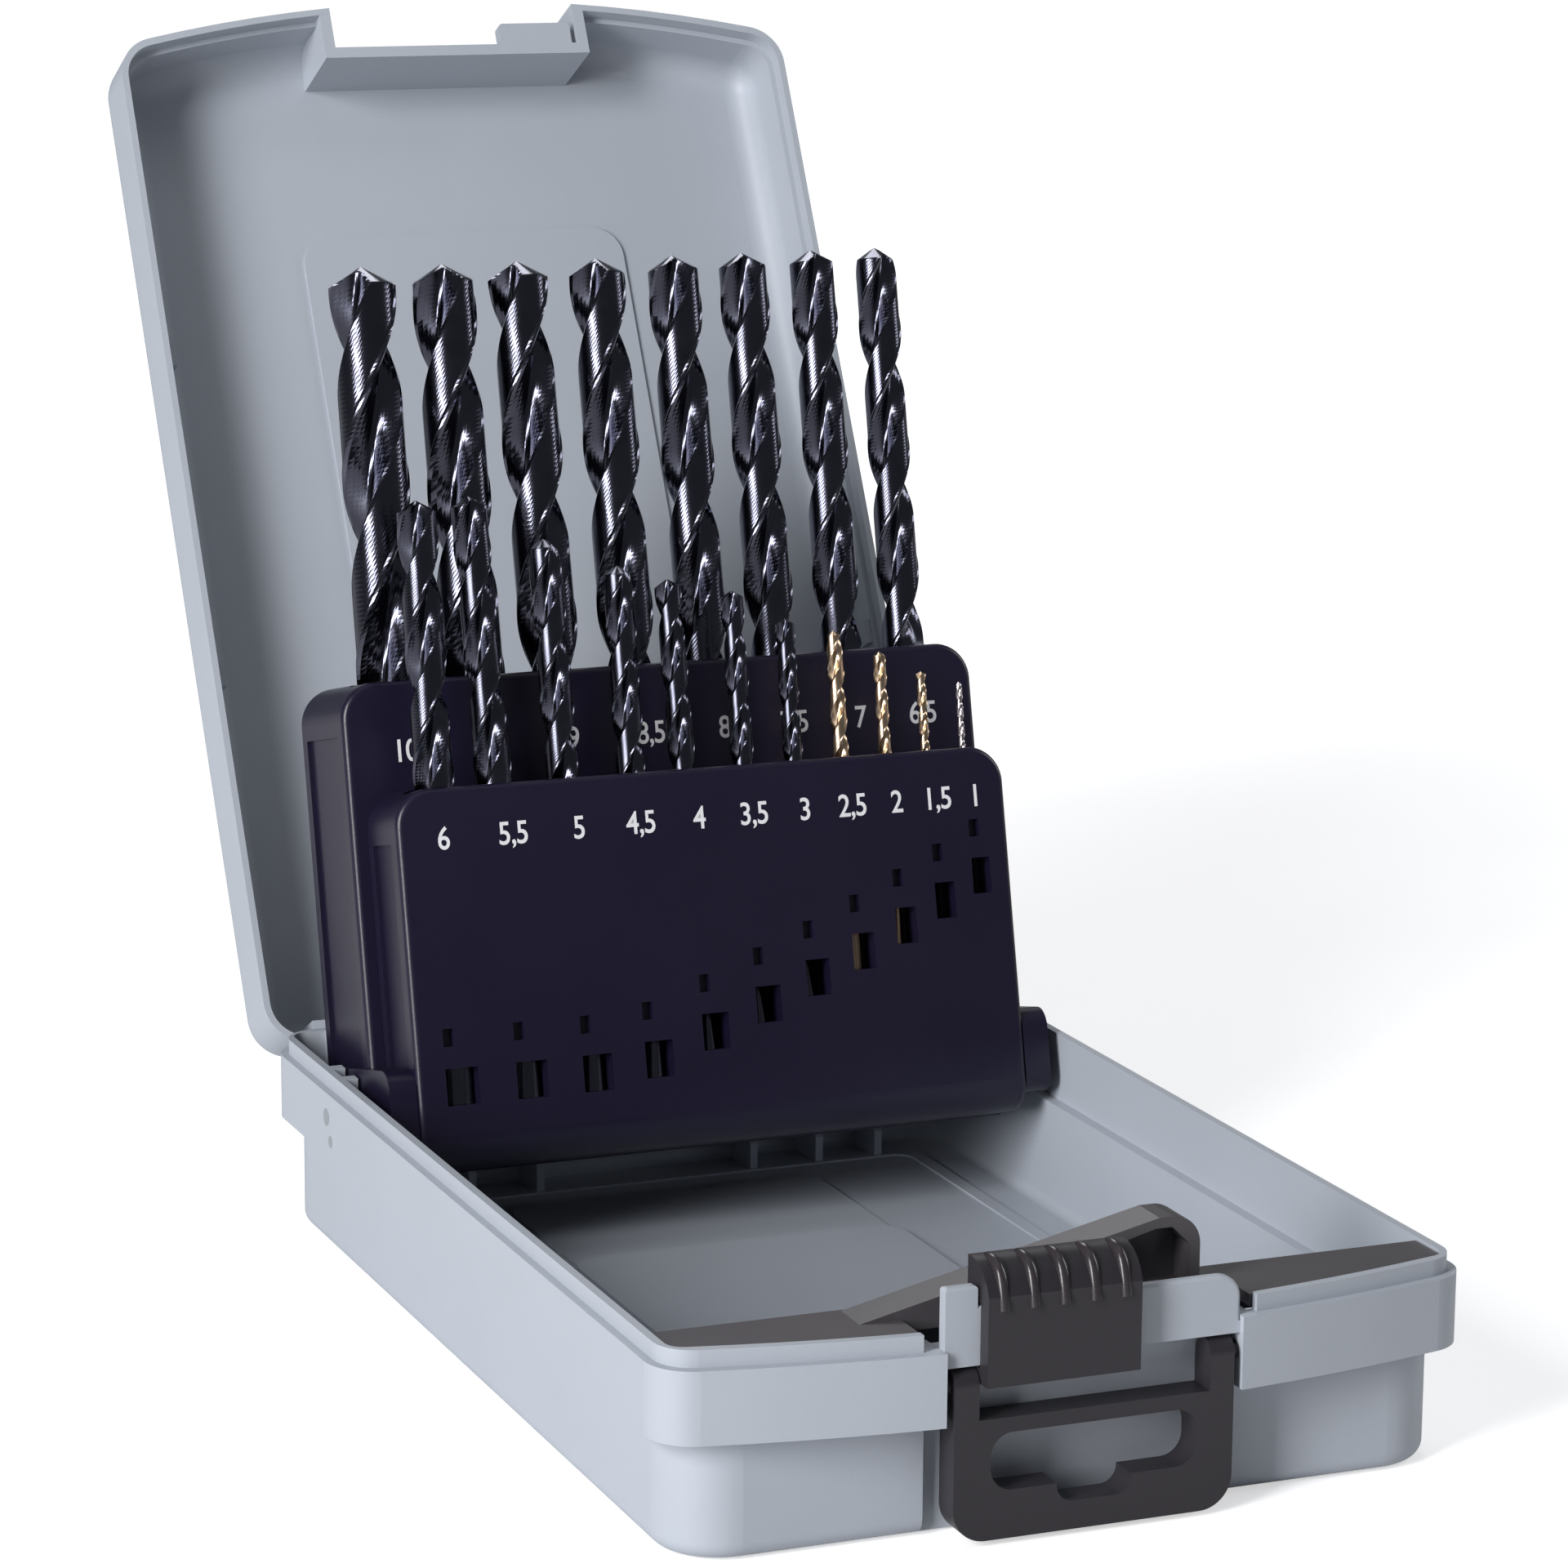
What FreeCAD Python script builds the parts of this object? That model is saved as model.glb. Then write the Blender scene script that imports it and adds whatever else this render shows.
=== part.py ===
"""Drill bit case: a hinged box whose two-row holder stands the drills up when the lid opens.

Millimetres, +Z up, +X to the right, the latch at the front (-Y) and the hinge at the rear.
The origin is the middle of the flat bottom. The case is modelled open, as it stands on a bench.
"""
import FreeCAD, Part
import math
import os

os.makedirs("parts", exist_ok=True)
V = FreeCAD.Vector
X_AXIS = V(1, 0, 0)
Y_AXIS = V(0, 1, 0)
Z_AXIS = V(0, 0, 1)

# Twist drills: diameter, overall length, flute length
rear_drills = (
    (10.0, 133.0, 87.0),
    (9.5, 125.0, 81.0),
    (9.0, 125.0, 81.0),
    (8.5, 117.0, 75.0),
    (8.0, 117.0, 75.0),
    (7.5, 109.0, 69.0),
    (7.0, 109.0, 69.0),
    (6.5, 101.0, 63.0),
)
# and, for the front row, how high each one stands above the holder's datum
front_drills = (
    (6.0, 93.0, 57.0, 1.5),
    (5.5, 93.0, 57.0, 1.7),
    (5.0, 86.0, 52.0, 1.8),
    (4.5, 80.0, 47.0, 3.2),
    (4.0, 75.0, 43.0, 5.8),
    (3.5, 70.0, 39.0, 8.5),
    (3.0, 61.0, 33.0, 12.8),
    (2.5, 57.0, 30.0, 14.5),
    (2.0, 49.0, 24.0, 18.9),
    (1.5, 40.0, 18.0, 24.5),
    (1.0, 34.0, 12.0, 28.5),
)
front_leans = (0.0, -0.8, 0.0, 0.0, 0.0, 0.0, 0.0, 0.0, 0.0, 0.0, 0.0)
flute_lead = 5.7            # one turn, in diameters
land_angle = 42.0           # half the width of each land
web_share = 0.30            # core radius, in drill radii
runout_share = 0.92         # the same where the flutes run out into the shank
point_angle = 118.0
section_turn = 45.0
shank_chamfer = 0.08        # in diameters

# Holder: two blocks of pockets, leaning back on one pivot
holder_lean = 13.35
pivot_up = 6.5              # pivot above the holder's datum, along the drills
pivot_out = 1.2             # pivot in front of the rear row
pivot_radius = 2.0
rear_row_gap = 3.63         # side to side, between neighbours
rear_row_shift = -0.46      # middle of the row from the middle of the case
rear_row_margin = 4.8
rear_front_face = 6.2       # rear row to the face in front of it
rear_back_face = 14.7
rear_bottom = -4.2
rear_top = 68.8
rear_tip_level = 130.6
front_row_gap = 4.93
front_row_shift = -0.23
front_row_margin = 4.2
front_row_depth = 4.6       # front row behind the front face
front_thickness = 14.2
front_bottom = -3.2
front_top = 52.5
block_gap = 0.2
block_corner = 5.5
edge_round = 1.0
foot_edge_round = 5.5       # lower front edge of the front block
side_groove_depth = 0.6
side_groove_margin = 2.2
back_frame = 3.0
back_recess = 1.2
back_corner = 2.0
back_rib = 1.6
back_rib_count = 4
pocket_clearance = 0.15
rear_pocket_flare = 0.55    # radial play at the mouth
front_pocket_flare = 0.75
window_height = 5.4
window_low = 9.2
window_rise = 3.25
window_level_count = 2.65   # windows before the row of them starts to rise
window_side = 1.3           # frame of a window beyond a fifth of the drill's diameter
slot_above = 7.2
slot_height = 2.6
slot_width = 1.6
slot_depth = 1.4

# Feet of the holder
foot_thickness = 1.7
foot_clearance = 0.35       # foot to the base's wall
foot_front = 20.2
foot_back = 9.0
foot_low = -0.4
foot_high = 12.4
foot_round = 3.0
stub_end_clearance = 0.2

# Case, overall
case_length = 164.0         # rear wall to the front corners, without the bow
front_bow = 6.8             # how far the middle of the front stands out
base_height = 25.9          # table to the ledge that the lid closes on
lid_depth = 15.3
wall = 1.8
floor_thickness = 1.8
corner_radius = 6.5
lid_edge_radius = 6.0

# Base: a stepped-out band over a straight lower body
band_height = 9.7
band_wall = 2.4
band_inner_radius = 2.5
side_step = 2.4
front_step = 0.2
rear_step = 1.4
lower_corner_radius = 9.0
bottom_edge_radius = 2.2
floor_fillet = 1.5
lip_height = 2.3
lip_inset = 1.2             # ledge outside the lip, which the lid's rim closes on
lip_clearance = 0.3
rebate_wall = 1.0
pivot_back = 26.3           # holder's pivot in front of the rear wall
pivot_below = 3.4           # holder's pivot below the ledge
pivot_slot_clearance = 0.15
pivot_pad_half = 4.0
pivot_pad_clearance = 0.3

# Floor of the base
panel_half_width = 26.0
panel_to_pivot = 20.7       # panel's rear edge in front of the pivot
panel_front_margin = 22.0
panel_relief = 0.8
panel_corner = 5.0
rear_panel_inset = 0.8
rear_panel_beyond = 8.3     # rear panel's end behind the pivot
rear_panel_relief = 0.3
bead_inset = 7.0            # floor bead inside the lower wall
bead_width = 2.2
bead_relief = 0.3
gusset_thickness = 1.2
gusset_places = (17.0, 28.0, 38.0)
gusset_reach = 8.6          # gussets in front of the rear inner wall
gusset_low = 4.2            # above the floor
gusset_high = 12.2

# Lid panel
lid_panel_half_width = 27.5
lid_panel_near = 28.0       # from the hinge
lid_panel_short = 28.5      # from the front corners
lid_panel_relief = 0.5
nib_places = (60.0, 113.0)
nib_length = 4.0
nib_height = 3.0
nib_reach = 1.0

# Rear hinge
pin_radius = 0.9
pin_clearance = 0.05
pin_chamfer = 0.25
knuckle_radius = 1.9
knuckle_clearance = 0.3
knuckle_length = 9.0
knuckle_gap = 0.3
knuckle_count = 3
hinge_pad = 1.4             # thickening of the walls inside each hinge
hinge_pad_height = 7.0
hinge_inset = 23.75         # middle of each hinge from the side of the case
lid_opening = 118.0

# Latch at the front
notch_half = 20.6
notch_wall = 2.0
pocket_back = 1.0           # pocket's rear wall in front of the corners
rail_face_back = 1.8        # rail's face behind the bow's middle
rail_thickness = 1.8
rail_below = 2.3            # rail's foot below the ledge
rail_shelf = 1.6
rail_above = 5.5            # rail's top above the ledge
rail_round = 0.5
rail_end_round = 3.0
stop_width = 4.4
stop_height = 2.6           # stop above the rail's top
slider_width = 21.2
slider_gap = 0.3
slider_skirt = 2.3
skirt_below = 4.6           # skirt's foot below the ledge
slider_hook = 1.4
slider_leg = 1.7
slider_front_rise = 2.6     # cap above the rail's top, in front
slider_rear_rise = 5.6
slider_crown = 1.0          # fullness of the cap's curve
grip_count = 5
grip_pitch = 4.2
grip_radius = 0.8
tab_left = 7.5
tab_right = 19.8
tab_reach = 3.6
tab_thickness = 2.0
tab_round = 0.8
lid_notch_clearance = 0.2
recess_face = 1.0           # lid's recessed wall behind the front corners

# Hanger
hanger_half = 19.5
hanger_arm = 3.4
hanger_thickness = 4.4
hanger_back = 0.4           # play between the hanger and the pocket's rear wall
hanger_length = 20.4        # axis to the lower edge
hanger_below = 4.9          # axis below the ledge
hanger_corner = 4.5
hanger_pin_radius = 1.1
hanger_pin_length = 1.6
hanger_pin_clearance = 0.1
hanger_pin_play = 0.3
crossbar_drop = 4.4         # crossbar's top below the axis
euro_drop = 6.4             # hole's top below the axis
euro_height = 7.6
euro_half = 14.4
euro_corner = 3.0
euro_notch_half = 5.2
euro_notch_depth = 2.6
front_recess_half = 21.0
front_recess = 1.4

# Catch strip behind the latch
strip_thickness = 1.6
strip_rise = 1.9            # strip's top above the ledge
strip_rear = 9.8            # rear edge behind the front corners
strip_clearance = 0.25
strip_skirt = 1.6
strip_skirt_height = 4.3
strip_channel = 0.6         # gap behind the lid's recessed wall
strip_rib_places = (30.0, 44.0)
strip_rib = 1.6
hood_start = -29.0
hood_peak = 13.0
hood_end = 18.9
hood_height = 9.4
hood_width = 6.0
hood_thickness = 1.4
hood_round = 4.0

# Worked out from the sizes above
def row_span(drills, gap):
    return sum(drill[0] for drill in drills) + gap * (len(drills) - 1)


rear_half = row_span(rear_drills, rear_row_gap) / 2 + rear_row_margin
front_half = row_span(front_drills, front_row_gap) / 2 + front_row_margin
foot_outer = rear_half + foot_thickness
lower_half = foot_outer + foot_clearance + wall
half_width = lower_half + side_step
rear_y = case_length / 2
front_y = -case_length / 2
lower_front = front_y + front_step
lower_rear = rear_y - rear_step
band_bottom = base_height - band_height
rim_top = base_height + lip_height
closed_height = base_height + lid_depth
pivot_y = rear_y - pivot_back
pivot_z = base_height - pivot_below
hinge_y = rear_y
hinge_offset = half_width - hinge_inset
bow_front = front_y - front_bow
pocket_y = front_y - pocket_back
rail_face = bow_front + rail_face_back
rail_back = rail_face + rail_thickness
rail_bottom = base_height - rail_below
rail_top = base_height + rail_above
shelf_top = rail_bottom + rail_shelf
lid_notch_half = notch_half + lid_notch_clearance
lid_recess_y = front_y + recess_face
hanger_y = pocket_y - hanger_back - hanger_thickness / 2
hanger_z = base_height - hanger_below
strip_top = base_height + strip_rise
strip_low = strip_top - strip_thickness
strip_rear_y = front_y + strip_rear
strip_front_y = lid_recess_y + wall + strip_channel
holder_front_face = rear_front_face + block_gap + front_thickness
front_row = holder_front_face - front_row_depth
datum_y = (pivot_y - pivot_up * math.sin(math.radians(holder_lean))
           + pivot_out * math.cos(math.radians(holder_lean)))
datum_z = (pivot_z - pivot_up * math.cos(math.radians(holder_lean))
           - pivot_out * math.sin(math.radians(holder_lean)))


def box(x0, x1, y0, y1, z0, z1):
    return Part.makeBox(x1 - x0, y1 - y0, z1 - z0, V(x0, y0, z0))


def mirrored(shape):
    return shape.mirror(V(0, 0, 0), X_AXIS)


def plan_prism(half, y_rear, y_front, bow, z0, z1, radius):
    """An upright prism of the case's plan: straight sides and rear, bowed or straight front."""
    corners = [V(half, y_front, z0), V(half, y_rear, z0), V(-half, y_rear, z0), V(-half, y_front, z0)]
    edges = [Part.LineSegment(a, b).toShape() for a, b in zip(corners, corners[1:])]
    if bow > 0:
        edges.append(Part.Arc(corners[3], V(0, y_front - bow, z0), corners[0]).toShape())
    else:
        edges.append(Part.LineSegment(corners[3], corners[0]).toShape())
    solid = Part.Face(Part.Wire(edges)).extrude(V(0, 0, z1 - z0))
    upright = [e for e in solid.Edges if abs(e.Vertexes[0].Z - e.Vertexes[-1].Z) > 0.5 * (z1 - z0)]
    return solid.makeFillet(radius, upright)


def edges_at(shape, z):
    """Every edge that lies in the level z."""
    return [e for e in shape.Edges if abs(e.BoundBox.ZMin - z) < 1e-4 and abs(e.BoundBox.ZMax - z) < 1e-4]


def rounded_box(x0, x1, y0, y1, z0, z1, radius):
    """A box whose upright edges are rounded."""
    solid = box(x0, x1, y0, y1, z0, z1)
    upright = [e for e in solid.Edges if abs(e.BoundBox.ZLength - (z1 - z0)) < 1e-6]
    return solid.makeFillet(radius, upright)


def x_rod(radius, x0, x1, y, z):
    return Part.makeCylinder(radius, x1 - x0, V(x0, y, z), X_AXIS)


def side_profile(points, x0, x1):
    """A solid across the case from a closed outline of (y, z) points."""
    wire = Part.makePolygon([V(x0, y, z) for y, z in points + points[:1]])
    return Part.Face(wire).extrude(V(x1 - x0, 0, 0))


def lean_back(shape):
    """From the holder's own frame, drills upright, to its place in the open case."""
    shape = shape.copy()
    shape.rotate(V(0, 0, 0), X_AXIS, -holder_lean)
    shape.translate(V(0, datum_y, datum_z))
    return shape


def open_lid(shape):
    shape = shape.copy()
    shape.rotate(V(0, hinge_y, base_height), X_AXIS, -lid_opening)
    return shape


def knuckle_spans(side):
    """Spans along X of one hinge's knuckles: the first and last on the base, the middle on the lid."""
    pitch = knuckle_length + knuckle_gap
    start = side * hinge_offset - (knuckle_count * pitch - knuckle_gap) / 2
    return [(start + i * pitch, start + i * pitch + knuckle_length) for i in range(knuckle_count)]


def add_hinges(wall_part, own, rival, pad_low, pad_high):
    """Thicken a rear wall, clear it for the rival's knuckles and add its own, bored for the pin."""
    def barrel(x0, x1, radius):
        return x_rod(radius, x0, x1, hinge_y, base_height)
    for side in (-1, 1):
        spans = knuckle_spans(side)
        start, end = spans[0][0] - 2, spans[-1][1] + 2
        pad = box(start, end, rear_y - band_wall - hinge_pad, rear_y - band_wall + 0.8, pad_low, pad_high)
        part = wall_part.fuse(pad)
        for x0, x1 in spans[rival::2]:
            part = part.cut(barrel(x0 - knuckle_gap, x1 + knuckle_gap, knuckle_radius + knuckle_clearance))
        for x0, x1 in spans[own::2]:
            part = part.fuse(barrel(x0, x1, knuckle_radius))
        wall_part = part.cut(barrel(start, end, pin_radius + pin_clearance))
    return wall_part


def pivot_pad():
    """The two upright ribs inside the right wall that take the holder's pivot from above."""
    inner = half_width - band_wall
    seat = pivot_radius + pivot_slot_clearance
    pad = box(foot_outer + pivot_pad_clearance, inner + 0.2, pivot_y - pivot_pad_half,
              pivot_y + pivot_pad_half, band_bottom + wall - 0.2, rim_top)
    slot = box(foot_outer, inner, pivot_y - seat, pivot_y + seat, pivot_z, rim_top + 1)
    return pad.cut(slot).cut(x_rod(seat, foot_outer, inner, pivot_y, pivot_z))


def base_shell():
    """Lower body, band and lip, hollowed out."""
    lower = plan_prism(lower_half, lower_rear, lower_front, 0, 0, band_bottom + 1, lower_corner_radius)
    lower = lower.makeFillet(bottom_edge_radius, edges_at(lower, 0))
    band = plan_prism(half_width, rear_y, front_y, front_bow, band_bottom, base_height, corner_radius)
    lip = plan_prism(half_width - lip_inset, rear_y - lip_inset, front_y + lip_inset, front_bow,
                     base_height - 1, rim_top, corner_radius - lip_inset)
    room_low = plan_prism(lower_half - wall, lower_rear - wall, lower_front + wall, 0, floor_thickness,
                          band_bottom + wall + 0.1, lower_corner_radius - wall)
    room_low = room_low.makeFillet(floor_fillet, edges_at(room_low, floor_thickness))
    room_high = plan_prism(half_width - band_wall, rear_y - band_wall, front_y + band_wall, front_bow,
                           band_bottom + wall, rim_top + 1, band_inner_radius)
    return lower.fuse([band, lip]).cut(room_low.fuse(room_high))


def floor_relief():
    """Raised panels, bead and rear gussets on the floor, each sunk a little into it."""
    low = floor_thickness - 0.2
    panel_rear = pivot_y - panel_to_pivot
    inner_rear = lower_rear - wall
    panel = rounded_box(-panel_half_width, panel_half_width, lower_front + panel_front_margin, panel_rear,
                        low, floor_thickness + panel_relief, panel_corner)
    rear_inset_half = panel_half_width - rear_panel_inset
    rear_panel = rounded_box(-rear_inset_half, rear_inset_half, panel_rear - 2 * panel_corner,
                             pivot_y + rear_panel_beyond, low, floor_thickness + rear_panel_relief,
                             panel_corner / 2)
    bead_half = lower_half - wall - bead_inset
    bead_front = lower_front + wall + front_recess + bead_inset / 2
    bead_rear = inner_rear - bead_inset
    bead_top = floor_thickness + bead_relief
    bead = rounded_box(-bead_half, bead_half, bead_front, bead_rear, low, bead_top, panel_corner)
    bead = bead.cut(rounded_box(-bead_half + bead_width, bead_half - bead_width, bead_front + bead_width,
                                bead_rear - bead_width, low - 1, bead_top + 1, panel_corner - bead_width))
    outline = [(inner_rear - gusset_reach, low), (inner_rear - gusset_reach, floor_thickness + gusset_low),
               (inner_rear + 0.2, floor_thickness + gusset_high), (inner_rear + 0.2, low)]
    pieces = [panel, rear_panel, bead]
    for place in gusset_places:
        rib = side_profile(outline, place, place + gusset_thickness)
        pieces += [rib, mirrored(rib)]
    return pieces


def latch_pocket():
    """The solid parts of the base round the latch: side walls, back wall, shelf, rail and stop."""
    outer = plan_prism(half_width, rear_y, front_y, front_bow, band_bottom, base_height, corner_radius)
    inner_y = pocket_y + wall
    wide = notch_half + notch_wall
    pieces = []
    for side in (-1, 1):
        a, b = sorted((side * notch_half, side * wide))
        side_wall = box(a, b, bow_front - 1, inner_y, band_bottom, base_height - lid_notch_clearance)
        pieces.append(side_wall.common(outer))
    pieces.append(box(-wide, wide, pocket_y, inner_y, band_bottom, shelf_top))
    pieces.append(box(-notch_half, notch_half, rail_face, inner_y, rail_bottom, shelf_top))
    rail = box(-notch_half, notch_half, rail_face, rail_back, rail_bottom, rail_top)
    end = [e for e in edges_at(rail, rail_top) if e.BoundBox.XMin > notch_half - 1]
    rail = rail.makeFillet(rail_end_round, end)
    pieces.append(rail.makeFillet(rail_round, [e for e in edges_at(rail, rail_top) if e.BoundBox.XLength > 1]))
    stop = box(-notch_half, -notch_half + stop_width, rail_face, rail_back, rail_top - 1,
               rail_top + stop_height)
    pieces.append(stop.makeFillet(rail_round, edges_at(stop, rail_top + stop_height)))
    pieces.append(box(-front_recess_half - wall, front_recess_half + wall, lower_front + wall - 0.2,
                      lower_front + wall + front_recess, floor_thickness - 0.2, band_bottom + wall))
    return pieces


def strip_ribs():
    """Ribs on the band's floor that carry the catch strip."""
    room = plan_prism(half_width - band_wall + 0.2, rear_y - band_wall, front_y + band_wall - 0.2,
                      front_bow, band_bottom + wall - 0.2, strip_low,
                      band_inner_radius)
    ribs = []
    for place in strip_rib_places:
        rib = box(place, place + strip_rib, bow_front, lower_front + wall, band_bottom + wall - 0.2,
                  strip_low).common(room)
        ribs += [rib, mirrored(rib)]
    return ribs


def base_tray():
    mouth = box(-notch_half, notch_half, bow_front - 1, pocket_y, band_bottom - 1, rim_top + 1)
    wide = notch_half + notch_wall + lip_clearance + slider_gap
    gap = box(-wide, wide, bow_front - 1, lower_front + band_wall, base_height, rim_top + 1)
    behind = box(-notch_half, notch_half, pocket_y - 1, lower_front + band_wall + 1, shelf_top,
                 rim_top + 1)
    tray = base_shell().cut([mouth, gap, behind])
    tray = tray.fuse(floor_relief() + latch_pocket() + strip_ribs())
    pads = pivot_pad()
    tray = tray.fuse([pads, mirrored(pads)])
    tray = tray.cut(box(-front_recess_half, front_recess_half, front_y - 1, lower_front + front_recess,
                        -1, band_bottom))
    hole = hanger_pin_radius + hanger_pin_clearance
    depth = notch_half + hanger_pin_length
    tray = tray.cut([x_rod(hole, notch_half - 1, depth, hanger_y, hanger_z),
                     x_rod(hole, -depth, 1 - notch_half, hanger_y, hanger_z)])
    tray = add_hinges(tray, 0, 1, base_height - hinge_pad_height, rim_top)
    return tray.removeSplitter()


def lid():
    """Lid shell, made closed and then opened."""
    top = closed_height
    outer = plan_prism(half_width, rear_y, front_y, front_bow, base_height, top, corner_radius)
    outer = outer.makeFillet(lid_edge_radius, edges_at(outer, top))
    room = plan_prism(half_width - wall, rear_y - wall, front_y + wall, front_bow, base_height - 1,
                      top - wall, corner_radius - wall)
    room = room.makeFillet(lid_edge_radius - wall, edges_at(room, top - wall))
    rebate = plan_prism(half_width - rebate_wall, rear_y - rebate_wall, front_y + rebate_wall, front_bow,
                        base_height - 1, rim_top + lip_clearance, corner_radius - rebate_wall)
    keep = box(-lid_notch_half - wall, lid_notch_half + wall, bow_front - 1, lid_recess_y + wall,
               base_height - 2, top + 1)
    notch = box(-lid_notch_half, lid_notch_half, bow_front - 1, lid_recess_y, base_height - 2, top + 1)
    shell = outer.cut(notch).cut(room.fuse(rebate).cut(keep))
    far = front_y + lid_panel_short
    near = hinge_y - lid_panel_near
    panel = rounded_box(-lid_panel_half_width, lid_panel_half_width, far, near,
                        top - wall - lid_panel_relief, top - wall + 0.2, panel_corner)
    shell = shell.fuse(panel)
    tab = box(tab_left, tab_right, lid_recess_y - tab_reach, lid_recess_y + 0.2, base_height,
              base_height + tab_thickness)
    tab_edges = [e for e in tab.Edges if abs(e.BoundBox.ZLength - tab_thickness) < 1e-6
                 and e.BoundBox.YMax < lid_recess_y - 1]
    shell = shell.fuse(tab.makeFillet(tab_round, tab_edges))
    inner = half_width - wall
    for place in nib_places:
        y = hinge_y - place
        nib = box(inner - nib_reach, inner + 0.2, y - nib_length / 2, y + nib_length / 2,
                  rim_top + 1, rim_top + 1 + nib_height)
        shell = shell.fuse([nib, mirrored(nib)])
    shell = add_hinges(shell, 1, 0, rim_top + 0.3, closed_height - lid_edge_radius)
    return open_lid(shell.removeSplitter())


def hinge_pin(side):
    spans = knuckle_spans(side)
    pin = x_rod(pin_radius, spans[0][0], spans[-1][1], hinge_y, base_height)
    return pin.makeChamfer(pin_chamfer, [e for e in pin.Edges if e.BoundBox.XLength < 1e-6])


def row_places(drills, gap, shift):
    """Drill axes along a row: neighbours stand one gap apart, measured between their sides."""
    places = [shift - row_span(drills, gap) / 2 + drills[0][0] / 2]
    for before, after in zip(drills, drills[1:]):
        places.append(places[-1] + (before[0] + after[0]) / 2 + gap)
    return places


def front_face_edges(block, face, low):
    """Edges that bound the front face, above a level."""
    return [e for e in block.Edges if abs(e.BoundBox.YMax + face) < 1e-4
            and abs(e.BoundBox.YMin + face) < 1e-4 and e.BoundBox.ZMax > low]


def holder_block(half, face, back, bottom, top, foot_round=edge_round):
    """A block in the holder's frame, with rounded top corners and softened front edges."""
    block = box(-half, half, -face, -back, bottom, top)
    corners = [e for e in block.Edges if e.BoundBox.YLength > 1 and abs(e.BoundBox.ZMin - top) < 1e-4]
    block = block.makeFillet(block_corner, corners)
    foot = [e for e in edges_at(block, bottom) if abs(e.BoundBox.YMax + face) < 1e-4]
    block = block.makeFillet(foot_round, foot)
    block = block.makeFillet(edge_round, front_face_edges(block, face, bottom + foot_round + 1))
    groove = box(half - side_groove_depth, half + 1, -face + side_groove_margin + edge_round,
                 -back - side_groove_margin, bottom - 1, top - block_corner - side_groove_margin)
    return block.cut([groove, mirrored(groove)])


def pocket(x, y, radius, floor, mouth, flare):
    """A tapered pocket: snug at the drill's foot, with play at the mouth."""
    depth = mouth - floor
    return Part.makeCone(radius + pocket_clearance, radius + flare + pocket_clearance, depth + 1,
                         V(x, y, floor), Z_AXIS)


def rear_stand(drill):
    return rear_tip_level - drill[1]


def rear_holder():
    block = holder_block(rear_half, rear_front_face, -rear_back_face, rear_bottom, rear_top)
    cuts = []
    for x, drill in zip(row_places(rear_drills, rear_row_gap, rear_row_shift), rear_drills):
        cuts.append(pocket(x, 0, drill[0] / 2, rear_stand(drill) - 0.1, rear_top, rear_pocket_flare))
    half = rear_half - back_frame
    low = rear_bottom + back_frame
    high = rear_top - back_frame
    pitch = (high - low + back_rib) / back_rib_count
    for i in range(back_rib_count):
        panel = box(-half, half, rear_back_face - back_recess, rear_back_face + 1,
                    low + i * pitch, low + (i + 1) * pitch - back_rib)
        along = [e for e in panel.Edges if e.BoundBox.YLength > 1]
        cuts.append(panel.makeFillet(back_corner, along))
    return lean_back(block.cut(cuts))


def window_centre(index):
    """Windows of the front face: level under the three longest drills, then rising in steps."""
    return window_low + window_rise * max(0.0, index - window_level_count)


def front_holder():
    back = rear_front_face + block_gap
    block = holder_block(front_half, holder_front_face, back, front_bottom, front_top,
                         foot_edge_round)
    cuts = []
    places = row_places(front_drills, front_row_gap, front_row_shift)
    for i, (x, drill) in enumerate(zip(places, front_drills)):
        diameter, length, flute, stand = drill
        cuts.append(pocket(x, -front_row, diameter / 2, stand - 0.1, front_top, front_pocket_flare))
        width = 2 * (window_side + diameter / 5)
        centre = window_centre(i)
        window = box(x - width / 2, x + width / 2, -holder_front_face - 1, -front_row,
                     centre - window_height / 2, centre + window_height / 2)
        slot_x = x - width / 2 + slot_width / 2
        slot = box(slot_x - slot_width / 2, slot_x + slot_width / 2, -holder_front_face - 1,
                   -holder_front_face + slot_depth, centre + slot_above - slot_height / 2,
                   centre + slot_above + slot_height / 2)
        cuts += [window, slot]
    return lean_back(block.cut(cuts))


def holder_foot(side):
    """A cheek beside the blocks, with the pivot stub that drops into the base's slot."""
    cheek = box(rear_half, foot_outer, -foot_front, foot_back, foot_low, foot_high)
    filler = box(front_half, rear_half, -foot_front, -rear_front_face - block_gap, foot_low, foot_high)
    body = cheek.fuse(filler).removeSplitter()
    ends = [e for e in body.Edges if e.BoundBox.XLength > 1 and e.BoundBox.YLength < 1e-6
            and (abs(e.BoundBox.YMin + foot_front) < 1e-6 or abs(e.BoundBox.YMin - foot_back) < 1e-6)]
    body = body.makeFillet(foot_round, ends)
    inner = half_width - band_wall
    stub = x_rod(pivot_radius, foot_outer - 1, inner - stub_end_clearance, -pivot_out, pivot_up)
    body = lean_back(body.fuse(stub))
    return body if side > 0 else mirrored(body)


def flute_section(radius, turn, z, web):
    """One cross-section of the fluted body: two lands on the circle, two hollow flutes."""
    def at(r, angle):
        a = math.radians(angle + turn)
        return V(r * math.cos(a), r * math.sin(a), z)
    edges = []
    for start in (0.0, 180.0):
        edges.append(Part.Arc(at(radius, start - land_angle), at(radius, start),
                              at(radius, start + land_angle)).toShape())
        edges.append(Part.Arc(at(radius, start + land_angle), at(web * radius, start + 90),
                              at(radius, start + 180 - land_angle)).toShape())
    return Part.Wire(edges)


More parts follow.
